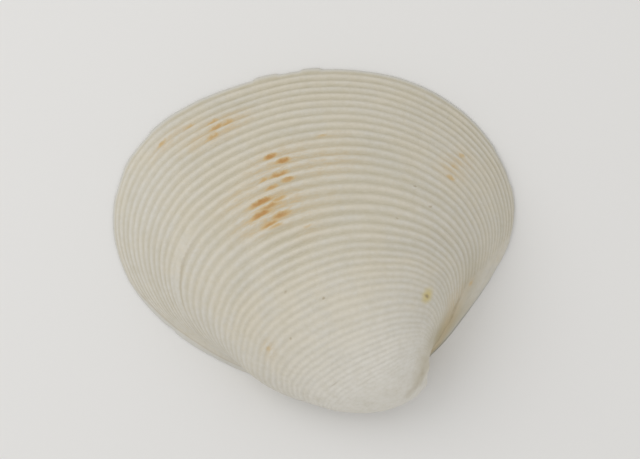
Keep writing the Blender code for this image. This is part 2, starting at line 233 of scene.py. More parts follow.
def curve_through(xs, ys, x, period=None):
    """Smooth curve through stations (xs, ys), read at x; with a period it closes on itself."""
    xs = np.asarray(xs, float)
    ys = np.asarray(ys, float)
    if period:
        xs = np.concatenate((xs[-2:] - period, xs, xs[:3] + period))
        ys = np.concatenate((ys[-2:], ys, ys[:3]))
        x = np.mod(x, period)
    slope = np.gradient(ys, xs)
    i = np.clip(np.searchsorted(xs, x, side="right") - 1, 0, len(xs) - 2)
    span = xs[i + 1] - xs[i]
    t = np.clip((x - xs[i]) / span, 0.0, 1.0)
    start = (1 + 2 * t) * (1 - t) ** 2 * ys[i] + t * (1 - t) ** 2 * span * slope[i]
    end = t * t * (3 - 2 * t) * ys[i + 1] + t * t * (t - 1) * span * slope[i + 1]
    return start + end


def ease(low, high, x):
    """0 below low, 1 above high, and a smooth rise between."""
    t = np.clip((x - low) / (high - low), 0.0, 1.0)
    return t * t * (3 - 2 * t)


def turned(x, around):
    """Angle in degrees brought to within half a turn of around."""
    return (x - around + 180.0) % 360.0 - 180.0 + around


def margin_radius(angle, growth):
    """Radius of the growth line in mm, before it shrinks and turns."""
    degrees, grown, young = zip(*MARGIN)
    grown = curve_through(degrees, grown, angle, 360.0)
    young = curve_through(degrees, young, angle, 360.0)
    return young + (grown - young) * np.exp(-SHAPE_CHANGE * growth)


def stretch_share(angle, start, end, fade):
    """1 from start to end round the margin, 0 elsewhere, with a fade at both ends; all in degrees."""
    a = turned(angle, (start + end) / 2)
    return ease(start - fade, start + fade, a) * ease(-end - fade, -end + fade, -a)


def band_share(x, low, high, fade):
    """1 from low to high, 0 outside, with a fade at both ends."""
    return ease(low - fade, low + fade, x) * (1 - ease(high - fade, high + fade, x))


def hinge_share(angle):
    """1 along the hinge, 0 round the rest of the margin."""
    return stretch_share(angle, HINGE_FROM, HINGE_TO, HINGE_FADE)


def skin(growth, angle):
    """Smooth outside in mm, without ribs."""
    growth, angle = np.broadcast_arrays(growth, angle)
    radius = margin_radius(angle, growth)
    a = np.radians(angle)
    line = np.stack(
        (MARGIN_CENTRE[0] + radius * np.cos(a), MARGIN_CENTRE[1] + radius * np.sin(a), 0 * radius), -1
    )
    heading, tilt = np.radians((COIL_AXIS_HEADING, COIL_AXIS_TILT))
    axis = np.array((np.cos(heading) * np.cos(tilt), np.sin(heading) * np.cos(tilt), np.sin(tilt)))
    arm = line - COIL_TIP
    turn = (COIL_TURN * growth - COIL_SLOWING * growth**2)[..., None]
    along = (arm @ axis)[..., None] * axis
    arm = along + (arm - along) * np.cos(turn) + np.cross(axis, arm) * np.sin(turn)
    point = COIL_TIP + np.exp(-growth)[..., None] * arm
    point[..., 2] += EDGE + HINGE_LIFT * hinge_share(angle) * (1 - np.exp(-growth / HINGE_LIFT_GROWTH))
    for at_growth, at_angle, growth_reach, angle_reach, x, y in FULLER:
        turn_away = (turned(angle, at_angle) - at_angle) / angle_reach
        share = np.exp(-(((growth - at_growth) / growth_reach) ** 2) - turn_away**2)
        point[..., :2] += share[..., None] * (x, y)
    return point


def slopes(growth, angle):
    """How the smooth outside runs, in mm: along the growth line per degree, and back per unit of growth."""
    before = np.maximum(growth - SLOPE_STEP, 0.0)
    after = growth + SLOPE_STEP
    along = (skin(growth, angle + 1.0) - skin(growth, angle - 1.0)) / 2
    back = (skin(after, angle) - skin(before, angle)) / (after - before)[..., None]
    return along, back


def outward(growth, angle):
    """Unit normal of the smooth outside."""
    normal = np.cross(*slopes(growth, angle))
    return normal / np.linalg.norm(normal, axis=-1, keepdims=True)


def line_spacing(growth, angle):
    """Distance between growth lines in mm, for each unit of growth."""
    along, back = slopes(growth, angle)
    return np.linalg.norm(np.cross(along, back), axis=-1) / np.linalg.norm(along, axis=-1)


def bare_reach(angle):
    """Growth up to which the hinge side has no ribs."""
    return np.interp(turned(angle, HINGE_SIDE), *zip(*BARE))


def beyond_bare(angle, growth):
    """Distance in mm from the edge of the part without ribs; negative inside it."""
    along, _ = slopes(growth, angle)
    slant = (bare_reach(angle + 0.5) - bare_reach(angle - 0.5)) / np.linalg.norm(along, axis=-1)
    spacing = line_spacing(growth, angle)
    return (growth - bare_reach(angle)) * spacing / np.hypot(1.0, slant * spacing)


def rib_share(angle, growth):
    """How strongly the ribs stand out, from 0 to about 1."""
    growths, shares = zip(*RIB_SHARE)
    a = turned(angle, RIBBED_SIDE)
    columns = [np.interp(growth, growths, column) for column in zip(*shares)]
    share = columns[0]
    for start, end, column in zip(RIB_SHARE_ANGLES, RIB_SHARE_ANGLES[1:], columns[1:]):
        share = share + (column - share) * ease(start, end, a)
    check = band_share(growth, *CHECK_GROWTH) * stretch_share(angle, *CHECK_ANGLE)
    return share * ease(*BARE_EDGE, beyond_bare(angle, growth)) * (1 - check)


class Unevenness:
    """Smooth seeded unevenness over the outside, about -1 to 1, that closes round the margin."""

    def __init__(self, seed, waves, most_round, most_back):
        rng = np.random.default_rng(seed)
        self.around = rng.integers(1, most_round + 1, waves)
        self.back = rng.uniform(-most_back, most_back, waves)
        self.start = rng.uniform(0.0, 2 * np.pi, waves)

    def at(self, growth, angle):
        """Its value at a growth and an angle."""
        turn = np.radians(angle)[..., None] * self.around + growth[..., None] * self.back + self.start
        return np.sin(turn).sum(axis=-1) / np.sqrt(2 * len(self.around))


WANDER = Unevenness(seed=3, waves=9, most_round=11, most_back=40.0)
HEIGHTS = Unevenness(seed=8, waves=9, most_round=9, most_back=60.0)
DENTS = Unevenness(seed=5, waves=12, most_round=14, most_back=22.0)
NIBBLES = Unevenness(seed=21, waves=24, most_round=70, most_back=0.0)


def column_angles():
    """Angles of the columns round the margin, from the seam on, closest where there is more to show."""
    fine = np.linspace(SEAM, SEAM + 360.0, ANGLES_TRIED)
    share = np.ones_like(fine)
    for centre, width, more in CROWDED:
        share += more * np.exp(-(((turned(fine, centre) - centre) / width) ** 2))
    width, more = CROWDED_LIP
    for start, end, _ in LIP:
        for place in (start, end):
            share += more * np.exp(-(((turned(fine, place) - place) / width) ** 2))
    reached = np.concatenate(((0.0,), np.cumsum((share[1:] + share[:-1]) / 2)))
    return np.interp(np.arange(COLUMNS) / COLUMNS * reached[-1], reached, fine)


def lip(angle):
    """How far the worn edge stands proud of its smooth line, in mm."""
    proud = LIP_UNEVENNESS * NIBBLES.at(0 * angle, angle)
    for start, end, height in LIP:
        proud = proud + height * stretch_share(angle, start, end, LIP_STEP)
    return proud


def rib_growth(number):
    """Growth at a rib's crest; halves fall in the grooves."""
    return curve_through(*zip(*RIBS), number)


def straying(number, angle):
    """How far a rib lies from its growth line, in distances between ribs."""
    numbers, strays = zip(*STRAY)
    number = np.minimum(number, numbers[-1])
    a = turned(angle, (STRAY_ANGLES[0] + STRAY_ANGLES[-1]) / 2)
    stray = 0.0
    stations = (STRAY_ANGLES[0] - STRAY_END, *STRAY_ANGLES, STRAY_ANGLES[-1] + STRAY_END)
    for column, (before, here, after) in enumerate(zip(stations, stations[1:], stations[2:])):
        share = ease(before, here, a) * (1 - ease(here, after, a))
        stray = stray + share * curve_through(numbers, [row[column] for row in strays], number)
    return stray


def outside_rings(angles, look):
    """Rings of the outside from the beak to the edge: places in mm, growths, rib numbers, how strongly the
    ribs stand out, and distances in mm from the part without ribs."""
    fine = np.arange(LAST_RIB * ROWS_PER_FINE_RIB, FINE_FROM * ROWS_PER_FINE_RIB, -1) / ROWS_PER_FINE_RIB
    main = np.arange(FINE_FROM * ROWS_PER_RIB, -ROWS_PER_RIB - 1, -1) / ROWS_PER_RIB
    number = np.concatenate((fine, main))[:, None] + 0 * angles
    growth = rib_growth(number)
    gap = np.gradient(growth[:, 0], number[:, 0])[:, None]
    angle = np.broadcast_to(angles, growth.shape)
    stray = straying(number, angle) + RIB_WANDER * WANDER.at(growth, angle)
    growth = growth + gap * stray * ease(*STRAY_FADE, number)
    share = rib_share(angle, growth)

    height = np.minimum(look.rib_height / MM, RIB_STEEPNESS * gap * line_spacing(growth, angle))
    height = height * (1 + HEIGHT_UNEVENNESS * HEIGHTS.at(growth, angle)) * ease(*LIP_THINNING, number)
    groove = np.abs(np.sin(np.pi * number)) ** look.groove_narrowness
    rib = height * (0.5 - groove) * share

    beak = np.linspace(BEAK_GROWTH, growth[0].mean(), BEAK_ROWS + 1)[:-1, None] + 0 * angles
    growth = np.concatenate((beak, growth))
    rib = np.concatenate((0 * beak, rib))
    share = np.concatenate((0 * beak, share))
    number = np.concatenate((0 * beak + LAST_RIB, number))

    angle = np.broadcast_to(angles, growth.shape)
    beyond = beyond_bare(angle, growth)
    lunule = ease(*LUNULE_FROM, turned(angle, HINGE_SIDE)) * np.exp(-growth)
    lunule = lunule * ease(*LUNULE_FADE, bare_reach(angle))
    deep, wide = LUNULE_GROOVE
    along_edge = deep * np.exp(-((beyond / wide) ** 2))
    sunk = lunule * (LUNULE_DEPTH * (1 - ease(*LUNULE_STEP, beyond)) + along_edge)
    dent = DENT_DEPTH * DENTS.at(growth, angle) * ease(*DENT_FADE, growth)
    places = skin(growth, angle) + outward(growth, angle) * (rib - sunk + dent)[..., None]
    reach = places[..., :2] - MARGIN_CENTRE
    reach = reach / np.linalg.norm(reach, axis=-1, keepdims=True)
    places[..., :2] += reach * (lip(angle) * (1 - ease(0.0, LIP_GROWTH, growth)))[..., None]
    return places, growth, number, share, beyond


def beak_cap(first_ring):
    """Rings of the beak's rounded tip, from its top to the first growth line, and the top itself, in mm."""
    middle = first_ring.mean(axis=0)
    arms = first_ring - middle
    up = np.cross(arms, np.roll(arms, -1, axis=0)).sum(axis=0)
    up /= np.linalg.norm(up)
    rise = (arms @ up)[:, None]
    rings = []
    for step in range(1, CAP_ROWS + 1):
        t = np.pi / 2 * step / (CAP_ROWS + 1)
        height = rise * np.sin(t) ** CAP_EVENING + BEAK_CAP * np.cos(t)
        rings.append(middle + (arms - rise * up) * np.sin(t) + height * up)
    return middle + BEAK_CAP * up, rings


def roof_tree():
    """The hollow's roof as a tree of faces: the smooth outside moved in by the wall's thickness."""
    growth = np.linspace(0.0, TREE_GROWTH, TREE_ROWS)[:, None]
    angle = np.linspace(0.0, 360.0, TREE_COLUMNS, endpoint=False)
    points = skin(growth, angle) - WALL * outward(*np.broadcast_arrays(growth, angle))
    number = np.arange(TREE_ROWS * TREE_COLUMNS).reshape(TREE_ROWS, TREE_COLUMNS)
    beside = np.roll(number, -1, axis=1)
    faces = np.stack((number[:-1], beside[:-1], beside[1:], number[1:]), -1).reshape(-1, 4)
    return BVHTree.FromPolygons(points.reshape(-1, 3).tolist(), faces.tolist())


def roof(tree, places):
    """Height of the hollow's roof over places in the resting plane, in mm."""
    heights = np.zeros(len(places))
    for number, (x, y) in enumerate(places):
        hit = tree.ray_cast(Vector((x, y, UNDER_ALL)), Vector((0.0, 0.0, 1.0)))[0]
        height = UNDER_ALL if hit is None else hit.z
        heights[number] = (height + np.hypot(height, ROOF_ROUNDING)) / 2
    return heights


def scar_share(places, depths, angles):
    """1 where the soft body held on inside: two muscle scars and the line between them; 0 elsewhere."""
    share = np.zeros(len(places))
    for x, y, half_length, half_width, heading in SCARS:
        way = np.array((np.cos(np.radians(heading)), np.sin(np.radians(heading))))
        along = (places - (x, y)) @ way / half_length
        aside = (places - (x, y)) @ np.array((-way[1], way[0])) / half_width
        share = np.maximum(share, 1 - ease(*SCAR_EDGE, np.hypot(along, aside)))
    start, end, fade = PALLIAL_LINE_FROM_TO
    sinus, width, further = PALLIAL_SINUS
    line = PALLIAL_LINE + further * np.exp(-(((turned(angles, sinus) - sinus) / width) ** 2))
    beside = 1 - ease(0.0, PALLIAL_LINE_WIDTH, np.abs(depths - line))
    return np.maximum(share, beside * stretch_share(angles, start, end, fade))


def underside_rings(angles):
    """Rings of the underside from the edge to the middle of the hollow: places in mm, their depths, how
    far they lie in a scar, and the middle."""
    tree = roof_tree()
    smooth_edge = skin(0.0, angles)[:, :2]
    out = smooth_edge - MARGIN_CENTRE
    reach = np.hypot(*out.T)
    hinge = hinge_share(angles)
    recess = stretch_share(angles, PLATE_FROM, PLATE_TO, PLATE_FADE)
    band = RIM_BAND + (HINGE_EDGE - RIM_BAND) * hinge
    plate_from = band + PLATE_STEP
    plate_to = plate_from + PLATE_STEP + (HINGE_PLATE - HINGE_EDGE - 2 * PLATE_STEP) * hinge
    foot = plate_to + HOLLOW_RISE
    rows = (
        (EDGE_ROUNDING, band, BAND_ROWS), (band, plate_from, STEP_ROWS), (plate_from, plate_to, PLATE_ROWS),
        (plate_to, foot, FOOT_ROWS), (foot, reach, INNER_ROWS),
    )
    depths = [EDGE_ROUNDING + 0 * band]
    for low, high, count in rows:
        depths += [low + (high - low) * step / count for step in range(1, count + 1)]
    depths = depths[:-1]
    rings = []
    scars = []
    for depth in depths:
        worn = lip(angles) * (1 - ease(0.0, LIP_REACH * RIM_BAND, depth))
        places = smooth_edge + out / reach[:, None] * (worn - depth)[:, None]
        over = roof(tree, places)
        plate = np.minimum(PLATE_HEIGHT * recess * ease(band, plate_from, depth), over)
        risen = ease(plate_to, plate_to + np.maximum(HOLLOW_RISE * hinge, HOLLOW_RISE_LEAST), depth)
        height = plate + (over - plate) * risen
        deep, low, high, fade = LIGAMENT_GROOVE
        groove = deep * band_share(depth, low, high, fade) * stretch_share(angles, *LIGAMENT_FROM_TO)
        scar = scar_share(places, depth, angles) * ease(0.0, SCAR_DEPTH, over - SCAR_DEPTH)
        rings.append(np.column_stack((places, height + groove + SCAR_DEPTH * scar * risen)))
        scars.append(scar * risen)
    top = (*MARGIN_CENTRE, roof(tree, np.array((MARGIN_CENTRE,)))[0])
    return np.array(rings), np.array(depths), np.array(scars), top


def teeth_mesh():
    """The hinge teeth in mm: rounded ridges that stand on the hinge plate, towards the resting plane."""
    bm = bmesh.new()
    height = PLATE_HEIGHT + TOOTH_ROOTED - TOOTH_CLEARANCE
    for heading, length, width in TEETH:
        made = bmesh.ops.create_uvsphere(bm, u_segments=TOOTH_SEGMENTS, v_segments=TOOTH_SEGMENTS, radius=1.0)
        turn = np.radians(heading)
        for vert in made["verts"]:
            point = np.array(vert.co)
            x, y, z = np.sign(point) * np.abs(point) ** TOOTH_SQUARENESS
            taper = 1 - TOOTH_TAPER * (1 - x) / 2
            x = TOOTH_START + length * (1 + x) / 2
            y *= width / 2 * taper
            vert.co = (
                TEETH_ROOT[0] + x * np.cos(turn) - y * np.sin(turn),
                TEETH_ROOT[1] + x * np.sin(turn) + y * np.cos(turn),
                TOOTH_CLEARANCE + height * (1 + z) / 2 + height / 2 * (1 - taper),
            )
    mesh = bpy.data.meshes.new("hinge_teeth")
    bm.to_mesh(mesh)
    bm.free()
    mesh.shade_smooth()
    return mesh


def pressed_ball(name, top, rings, bottom):
    """A ball whose rings of points, counted from the top, and two poles are moved to the given places.

    Returns its mesh, and each point's ring number and column, with rings 0 and len(rings) + 1 the poles."""
    rows = len(rings) + 1
    bm = bmesh.new()
    bmesh.ops.create_uvsphere(bm, u_segments=COLUMNS, v_segments=rows, radius=1.0)
    mesh = bpy.data.meshes.new(name)
    bm.to_mesh(mesh)
    bm.free()
    points = np.zeros(len(mesh.vertices) * 3)
    mesh.vertices.foreach_get("co", points)
    x, y, z = points.reshape(-1, 3).T
    row = np.round(np.arctan2(np.hypot(x, y), z) / np.pi * rows).astype(int)
    column = np.round(np.arctan2(y, x) / (2 * np.pi) * COLUMNS).astype(int) % COLUMNS
    grid = np.concatenate((np.tile(top, (1, COLUMNS, 1)), rings, np.tile(bottom, (1, COLUMNS, 1))))
    mesh.vertices.foreach_set("co", grid[row, column].ravel())
    return mesh, row, column


def add_growth_map(mesh, row, column, angles, growth):
    """A UV map whose x is the share of the way round from the seam and whose y is the growth."""
    share = (np.append(angles, angles[0] + 360.0) - SEAM) / 360.0
    corner = np.zeros(len(mesh.loops), int)
    mesh.loops.foreach_get("vertex_index", corner)
    start = np.zeros(len(mesh.polygons), int)
    mesh.polygons.foreach_get("loop_start", start)
    size = np.diff(np.append(start, len(corner)))
    on_pole = (row == 0) | (row == row.max())
    columns = np.where(on_pole, -1, column)[corner]
    last = np.repeat(np.maximum.reduceat(columns, start), size)
    columns = np.where((columns == 0) & (last == COLUMNS - 1), COLUMNS, columns)
    last = np.repeat(np.maximum.reduceat(columns, start), size)
    columns = np.where(columns < 0, last, columns)
    uv = np.column_stack((share[columns], growth[row[corner], column[corner]]))
    mesh.uv_layers.new(name="growth").data.foreach_set("uv", uv.ravel())


def add_mask(mesh, name, values):
    """A number at each point of the mesh, which a material reads by name."""
    mesh.attributes.new(name, "FLOAT", "POINT").data.foreach_set("value", values.astype(np.float32))


def valve_mesh(look):
    """The valve in mm, with its growth map and the numbers that its material reads."""
    angles = column_angles()
    outer, growth, number, share, beyond = outside_rings(angles, look)
    top, cap = beak_cap(outer[0])
    lower, depths, scars, bottom = underside_rings(angles)
    rings = np.concatenate((cap, outer, lower))
    mesh, row, column = pressed_ball("ribbed_valve", top, rings, bottom)

    def over_all(on_cap, on_outside, on_underside):
        """One grid of numbers for the whole valve, poles included."""
        cap_rows = np.full((CAP_ROWS + 1, COLUMNS), on_cap)
        return np.concatenate((cap_rows, on_outside, on_underside, on_underside[-1:]))

    add_growth_map(mesh, row, column, angles, over_all(BEAK_GROWTH, growth, -depths / UNDERSIDE_MAP))
    masks = {
        "rib_number": over_all(LAST_RIB, number, 0 * depths + RIBS[0][0]),
        "rib_share": over_all(0.0, share, 0 * depths),
        "beyond_bare": over_all(NEAR_BARE, np.clip(beyond, -NEAR_BARE, NEAR_BARE), 0 * depths + NEAR_BARE),
        "inside": over_all(0.0, 0 * growth, ease(*INSIDE_FROM, depths)),
        "scar": over_all(0.0, 0 * growth, scars),
    }
    for name, values in masks.items():
        add_mask(mesh, name, values[row, column])
    mesh.shade_smooth()
    return mesh


def finish_piece(name, mesh, material):
    """A scene object in metres from a mesh in mm, set in the CAD's place, with its material."""
    low, high = (np.array(corner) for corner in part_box("valve"))
    growths = np.linspace(0.0, BEAK_GROWTH, OUTLINE_ROWS)[:, None]
    smooth = skin(growths, np.arange(0.0, 360.0, OUTLINE_STEP))[..., :2].reshape(-1, 2)
    shift = (low + high)[:2] / 2 / MM - (smooth.min(axis=0) + smooth.max(axis=0)) / 2
    mesh.transform(Matrix.Scale(MM, 4) @ Matrix.Translation((*shift, 0.0)))
    mesh.materials.append(material)
    piece = bpy.data.objects.new(name, mesh)
    bpy.context.scene.collection.objects.link(piece)
    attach(piece, "root")
    return piece


class Wire:
    """An output of a shader node. Arithmetic on it adds Math nodes to the same material."""

    def __init__(self, tree, socket=None):
        self.tree = tree
        self.socket = socket

    def node(self, kind, settings=None, values=None, output=0):
        """Adds a node of a kind, with its settings and its sockets' values or wires; gives one output."""
        made = self.tree.nodes.new("ShaderNode" + kind)
        for name, setting in (settings or {}).items():
            setattr(made, name, setting)
        for key, value in (values or {}).items():
            if isinstance(value, Wire):
                self.tree.links.new(value.socket, made.inputs[key])
            else:
                made.inputs[key].default_value = value
        return Wire(self.tree, made.outputs[output])

    def math(self, operation, *values):
        """A Math node on these values."""
        return self.node("Math", {"operation": operation}, dict(enumerate(values)))

    def __add__(self, other):
        return self.math("ADD", self, other)

    __radd__ = __add__

    def __sub__(self, other):
        return self.math("SUBTRACT", self, other)

    def __rsub__(self, other):
        return self.math("SUBTRACT", other, self)

    def __mul__(self, other):
        return self.math("MULTIPLY", self, other)

    __rmul__ = __mul__

    def eased(self, low, high):
        """0 where this is below low, 1 above high, and a smooth rise between; falls if high is less."""
        if low < high:
            ends = {"From Min": low, "From Max": high}
        else:
            ends = {"From Min": high, "From Max": low, "To Min": 1.0, "To Max": 0.0}
        return self.node("MapRange", {"interpolation_type": "SMOOTHSTEP"}, {"Value": self, **ends})

    def eased_to(self, low, high, strength):
        """The same, times a strength."""
        return self.eased(low, high) * strength

    def about_one(self, share):
        """A noise made to vary about 1 by this share."""
        return self * share + (1 - share * NOISE_MEAN)

    def between(self, low, high):
        """The colour this share of the way from low to high."""
        return self.node("Mix", {"data_type": "RGBA"}, {0: self, 6: low, 7: high}, output=2)

    def vector(self, operation, other):
        """A Vector Math node on this and another vector."""
        return self.node("VectorMath", {"operation": operation}, {0: self, 1: other})


# Marks on the outside, each as (growth, angle, length and width in mm, strength)
RUST = (
    (0.341, 97.5, 2.6, 0.70, 0.8), (0.352, 105.5, 2.4, 0.70, 0.8), (0.316, 110.5, 3.0, 0.75, 1.0),
    (0.286, 109.5, 3.4, 0.75, 1.0), (0.306, 104.5, 2.8, 0.60, 0.75), (0.298, 98.5, 2.0, 0.60, 0.6),
    (0.261, 103.0, 2.0, 0.60, 0.65), (0.255, 93.5, 1.9, 0.65, 0.65), (0.235, 99.0, 2.5, 0.70, 0.85),
    (0.235, 107.5, 1.2, 0.60, 0.55), (0.205, 97.0, 1.9, 0.65, 0.95), (0.185, 104.0, 1.7, 0.65, 1.0),
    (0.365, 101.0, 2.0, 0.50, 0.45), (0.070, 129.0, 1.9, 0.60, 0.65), (0.070, 124.5, 1.8, 0.60, 0.55),
    (0.085, 130.5, 1.8, 0.60, 0.55), (0.055, 130.0, 1.8, 0.50, 0.5), (0.035, 149.5, 1.6, 0.50, 0.45),
    (0.040, 138.5, 1.4, 0.50, 0.45), (0.100, 26.0, 0.9, 0.60, 0.35), (0.145, 25.0, 1.0, 0.55, 0.3),
    (0.180, 23.0, 1.3, 0.60, 0.4), (0.262, -16.2, 0.8, 0.80, 0.35), (0.686, 139.0, 1.0, 0.60, 0.28),
    (0.396, 80.0, 1.2, 0.45, 0.3), (0.160, 79.0, 1.2, 0.45, 0.3),
)
HALOS = (
    (0.320, 104.0, 9.5, 5.0, 0.95), (0.210, 100.0, 8.5, 5.0, 0.65), (0.075, 128.0, 8.5, 3.6, 0.75),
    (0.040, 145.0, 7.0, 2.2, 0.55), (0.140, 25.0, 4.0, 5.5, 0.45), (0.330, 88.0, 10.0, 6.0, 0.35),
    (0.230, 76.0, 9.0, 5.0, 0.45), (0.686, 139.0, 3.0, 2.4, 0.35), (0.450, -32.0, 9.0, 3.2, 0.75),
    (0.262, -16.2, 1.8, 1.7, 0.4), (0.480, -43.0, 5.0, 3.0, 0.6), (0.250, 119.0, 8.0, 4.0, 0.45),
    (0.160, 76.5, 4.5, 1.6, 0.35), (0.410, 78.0, 4.0, 2.5, 0.25),
)
# Painted shade, tinted dull brown, where the folds in front of the beak and the sunken lunule turn from the
# light
PAINTED_SHADES = (
    (0.520, -36.0, 7.0, 6.5, 0.95), (0.320, -47.0, 5.0, 4.0, 0.95), (0.280, -19.0, 9.0, 4.5, 0.35),
    (1.720, -14.0, 3.0, 3.2, 0.45), (1.000, -28.0, 3.5, 4.5, 0.45),
    (1.400, -25.0, 3.0, 3.4, 0.50), (1.800, 5.0, 3.0, 1.6, 0.25),
)
YELLOW = ((0.670, 2.5, 1.5, 1.9, 1.0), (0.640, 2.0, 1.0, 1.0, 0.5))
SMUDGES = (
    (0.255, 167.0, 10.0, 0.36, 0.26), (0.238, 196.0, 6.0, 0.30, 0.18), (0.672, 2.5, 0.7, 0.5, 0.85),
    (0.306, 22.0, 0.4, 0.3, 0.5), (0.266, 31.5, 0.4, 0.3, 0.6), (0.386, 32.0, 0.4, 0.3, 0.6),
    (1.620, -18.0, 1.2, 1.5, 0.22), (1.820, 0.0, 1.6, 1.2, 0.22), (1.740, 13.0, 1.8, 1.0, 0.18),
    (0.725, 112.5, 0.4, 0.3, 0.5), (0.645, 70.5, 0.4, 0.3, 0.6), (0.565, 102.2, 0.4, 0.3, 0.4),
    (1.060, 94.0, 1.2, 0.2, 0.35), (0.560, -41.0, 1.0, 1.2, 0.35), (0.410, -30.0, 1.2, 1.2, 0.2),
)
MARK_EDGE = (1.4, 0.15)  # shares of a mark's half length or width over which it comes in
MARK_SHIFT = (0.005, 0.010)  # how far unevenness shifts their edges, round the valve and back
STAIN_UNEVENNESS = 0.6  # share that the stains' strength varies by
PAINTED_SHADE_UNEVENNESS = 0.8  # the same for the painted shade
RUST_FRINGE = (0.0, 0.5)  # strengths of a stain at which its ochre edge begins and is full
RUST_CORE = (0.3, 1.0)  # and its orange-brown middle
HALO_IN_GROOVES = 0.5  # how much more the yellow tint shows in the grooves
HALO_STREAKS = (0.4, 0.65, 0.9)  # streakiness from and to which it shows more, and how much

# Unevenness: spots to a metre
CLOUDS, BLOTCHES, RAGGEDNESS, GRAIN = 260.0, 700.0, 1700.0, 2600.0
STREAKS = (70.0, 160.0, 0.0)  # how fine the grooves' unevenness is, round the valve and back
RIB_TINTS = (9.0, 0.37)  # how fast a rib's tint changes along it, and how much from rib to rib
NOISE_MEAN = 0.5
NOISE_ROUGHNESS = 0.6  # how strong its finer detail is

# Where a finish comes in, as (from, to, strength), along the way round (0 to 1), growth, mm or a noise
CLOUD_COOLNESS = (0.3, 0.7, 0.7)
CLOUD_BALANCE = 0.105  # taken off it, to keep the mean
REAR_COOLNESS = (0.62, 0.76, 0.75)
FRONT_COOLNESS = (0.38, 0.28, 0.35)
TINT_COOLNESS = 1.6  # for each unit that a rib's tint differs
FINE_COOLNESS = 1.2  # the same for the grain and the blotches
STREAK_DULLNESS = 1.5  # how much the grooves' dullness varies
BEAK_WEAR = (0.5, 1.2, 0.85)
RAGGED_MOTTLING = (0.3, 0.8, 0.25)
BLOTCH_MOTTLING = (0.4, 0.8, 0.15)
TINT_MOTTLING = (0.45, 0.70, 0.18)
TINT_FADE = (1.2, 0.5)  # growth over which the ribs' own mottling comes in
CLOUD_MOTTLING = (0.45, 0.75, 0.10)
LIP_GREY = (0.007, 0.001, 0.6)
BEHIND_BEAK = ((0.794, 0.814), (0.93, 0.91))  # shares of the way round where the strip begins and ends
STRIP_GREY = (0.0, -0.25, 0.4)
# painted shade: a dark line along the edge of the strip behind the beak, where its face turns away from the
# light
STRIP_SHADE_LINE = (0.25, 0.0, 0.3)
LUNULE_LINE = (0.75, 0.05, 1.0)  # brown in the lunule's groove
LUNULE_LINE_AT = (0.50, -38.0, 11.0, 9.0, 1.0)  # where that line is brownest, as a mark
LUNULE_LINE_BLOTCHES = (0.35, 0.65, 0.65)
LUNULE_LINE_LEAST = 0.2  # its strength between the blotches

# Inside and relief
SCAR_DULLNESS = 0.6  # how strongly the scars take their own colour
SCAR_GLOSS = 0.12  # how much smoother they are
INSIDE_SMOOTHNESS = 0.8  # share of the grain that the inside lacks
GROOVE_RELIEF = 0.6  # how much stronger the relief is in the grooves
RELIEF_STRENGTH = 0.35
RELIEF_DEPTH = 0.09 * MM  # of the finest grain, which isn't in the mesh


def place_of(growth, angle):
    """Where a growth and an angle lie in the growth map."""
    return ((angle - SEAM) % 360.0 / 360.0, growth, 0.0)


def mark(place, growth, angle, length, width, strength):
    """A mark that lies along a growth line: its strength over the shell."""
    along, _ = slopes(np.array(growth), np.array(angle))
    round_scale = 360.0 * np.linalg.norm(along) / (length / 2)
    back_scale = float(line_spacing(np.array(growth), np.array(angle))) / (width / 2)
    offset = place.vector("SUBTRACT", place_of(growth, angle))
    scaled = offset.vector("MULTIPLY", (round_scale, back_scale, 0.0))
    away = scaled.node("VectorMath", {"operation": "LENGTH"}, {0: scaled}, "Value")
    return away.eased_to(*MARK_EDGE, strength)


def marks(place, table):
    """The strongest of several marks."""
    strongest = mark(place, *table[0])
    for entry in table[1:]:
        strongest = strongest.math("MAXIMUM", strongest, mark(place, *entry))
    return strongest


class ShellPoint:
    """What the material knows of a point on the valve: where it lies, and how uneven the shell is there."""

    def __init__(self, start, look):
        self.start = start
        self.place = start.node("UVMap", {"uv_map": "growth"})
        self.around = start.node("SeparateXYZ", values={0: self.place}, output="X")
        self.growth = start.node("SeparateXYZ", values={0: self.place}, output="Y")
        self.rib_number, self.rib_share, self.beyond_bare, self.inside, self.scar = (
            start.node("Attribute", {"attribute_name": name}, output="Fac")
            for name in ("rib_number", "rib_share", "beyond_bare", "inside", "scar")
        )
        where = start.node("TexCoord", output="Object")
        self.clouds = self.noise(where, CLOUDS)
        self.blotches = self.noise(where, BLOTCHES)
        self.ragged = self.noise(where, RAGGEDNESS)
        self.grain = self.noise(where, GRAIN, detail=2.0)
        self.streaks = self.noise(self.place.vector("MULTIPLY", STREAKS), 1.0)
        along, across = RIB_TINTS
        rib = self.rib_number.math("ROUND", self.rib_number)
        own = start.node("CombineXYZ", values={0: self.around * along, 1: rib * across})
        self.tint = self.noise(own, 1.0, detail=1.0)
        wave = self.rib_number.math("SINE", self.rib_number * np.pi)
        wave = wave.math("ABSOLUTE", wave)
        self.wave = wave.math("POWER", wave, look.groove_narrowness)
        self.groove = self.wave * self.rib_share
        self.from_bare = self.beyond_bare.math("ABSOLUTE", self.beyond_bare)

    def noise(self, source, scale, detail=3.0):
        """Cloudy unevenness with spots of about 1 / scale."""
        values = {"Vector": source, "Scale": scale, "Detail": detail, "Roughness": NOISE_ROUGHNESS}
        return self.start.node("TexNoise", values=values, output="Fac")


def ribbed_colour(point, look):
    """Cream ribs with cooler patches, and duller grooves."""
    ends = point.around.eased_to(*REAR_COOLNESS) + point.around.eased_to(*FRONT_COOLNESS)
    cool = point.clouds.eased_to(*CLOUD_COOLNESS) - CLOUD_BALANCE + ends
    cool = cool + (point.tint - NOISE_MEAN) * TINT_COOLNESS
    cool = cool + (point.grain - NOISE_MEAN) * FINE_COOLNESS + (point.blotches - NOISE_MEAN) * FINE_COOLNESS
    rib_colour = cool.between(look.rib_colour, look.cool_colour)
    dullness = point.groove * ((point.streaks - NOISE_MEAN) * STREAK_DULLNESS + look.groove_share)
    return dullness.between(rib_colour, look.groove_colour)


